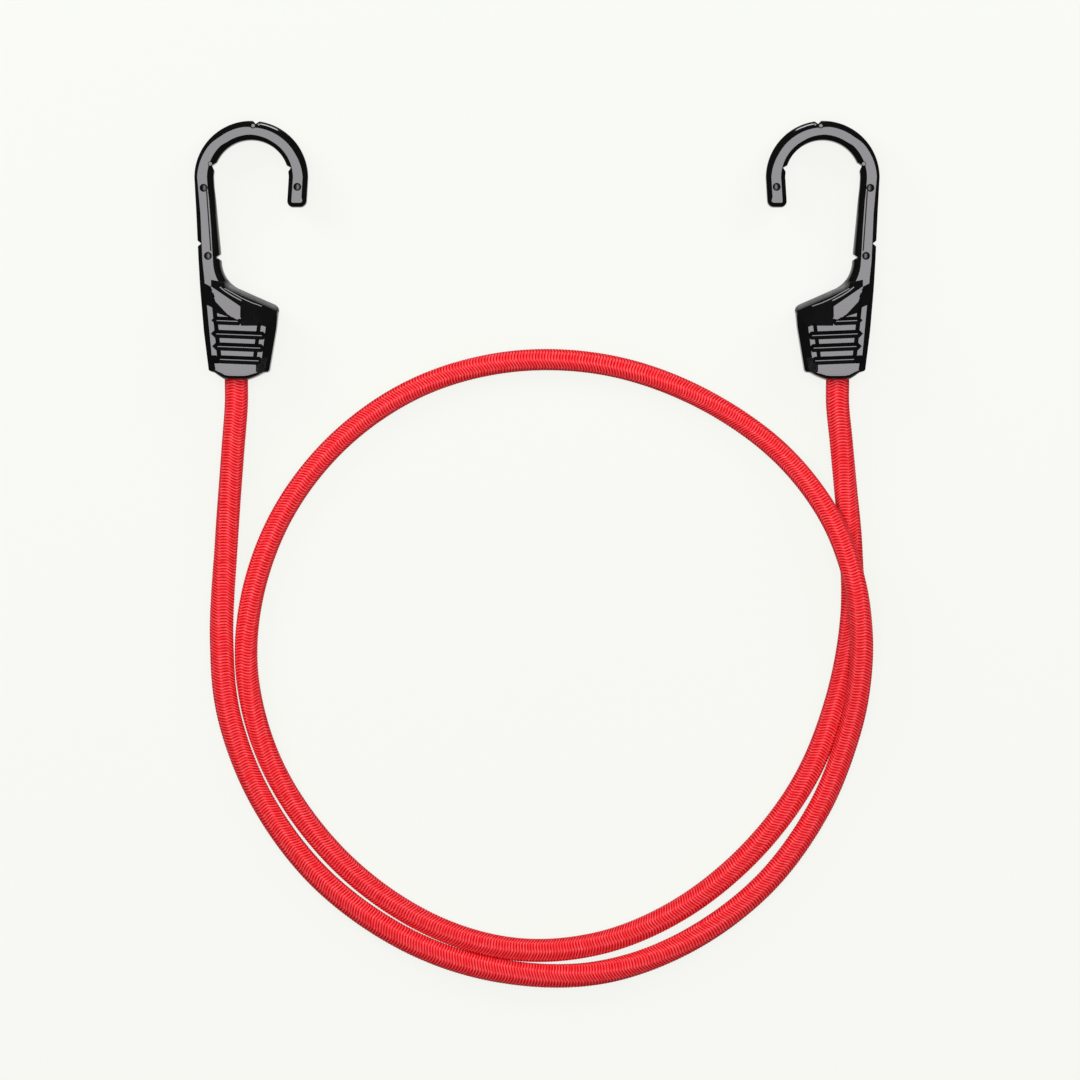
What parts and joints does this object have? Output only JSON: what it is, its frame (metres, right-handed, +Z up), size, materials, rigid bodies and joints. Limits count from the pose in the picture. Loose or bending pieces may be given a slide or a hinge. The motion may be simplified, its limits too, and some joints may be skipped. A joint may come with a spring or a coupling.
{
  "type": "bungee cord",
  "caption": "elastic braided cord laid in an open double loop, with a moulded steel-cored hook swivelling on each end",
  "frame": {"origin": "midway between the two hooks, on the surface that the object lies on", "axes": "+X runs from the left hook to the right hook, +Y points from the sockets to the bends of the hooks, +Z is up, away from the surface"},
  "size_m": [0.2136, 0.2699, 0.0155],
  "materials": {
    "braided_cover": "red braided polyester cover, fine herringbone ribs",
    "rubber_thread": "natural rubber thread, matt",
    "hook_plastic": "glossy black moulded nylon",
    "core_steel": "bright drawn steel wire",
    "sleeve_metal": "zinc plated pressed steel"
  },
  "bodies": {
    "cord": {"cord_cover": "braided_cover", "rubber_thread_01": "rubber_thread", "rubber_thread_02": "rubber_thread", "rubber_thread_03": "rubber_thread", "rubber_thread_04": "rubber_thread", "rubber_thread_05": "rubber_thread", "rubber_thread_06": "rubber_thread", "rubber_thread_07": "rubber_thread", "rubber_thread_08": "rubber_thread", "rubber_thread_09": "rubber_thread", "rubber_thread_10": "rubber_thread", "rubber_thread_11": "rubber_thread", "rubber_thread_12": "rubber_thread", "rubber_thread_13": "rubber_thread", "rubber_thread_14": "rubber_thread"},
    "left_end": {"left_crimp_sleeve": "sleeve_metal"},
    "left_hook": {"left_hook_body": "hook_plastic", "left_steel_core": "core_steel"},
    "right_end": {"right_crimp_sleeve": "sleeve_metal"},
    "right_hook": {"right_hook_body": "hook_plastic", "right_steel_core": "core_steel"}
  },
  "joints": [
    {"name": "left_stretch", "type": "slide", "parent": "cord", "child": "left_end", "axis": [0, 1, 0], "range_m": [0, 0.06], "stiffness_N_per_m": 1500},
    {"name": "left_swivel", "type": "hinge", "parent": "left_end", "child": "left_hook", "pos_m": [-0.0938, -0.0404, 0.007], "axis": [0, 1, 0], "continuous": true},
    {"name": "right_stretch", "type": "slide", "parent": "cord", "child": "right_end", "axis": [0, 1, 0], "range_m": [0, 0.06], "stiffness_N_per_m": 1500},
    {"name": "right_swivel", "type": "hinge", "parent": "right_end", "child": "right_hook", "pos_m": [0.0938, -0.0404, 0.007], "axis": [0, 1, 0], "continuous": true}
  ]
}
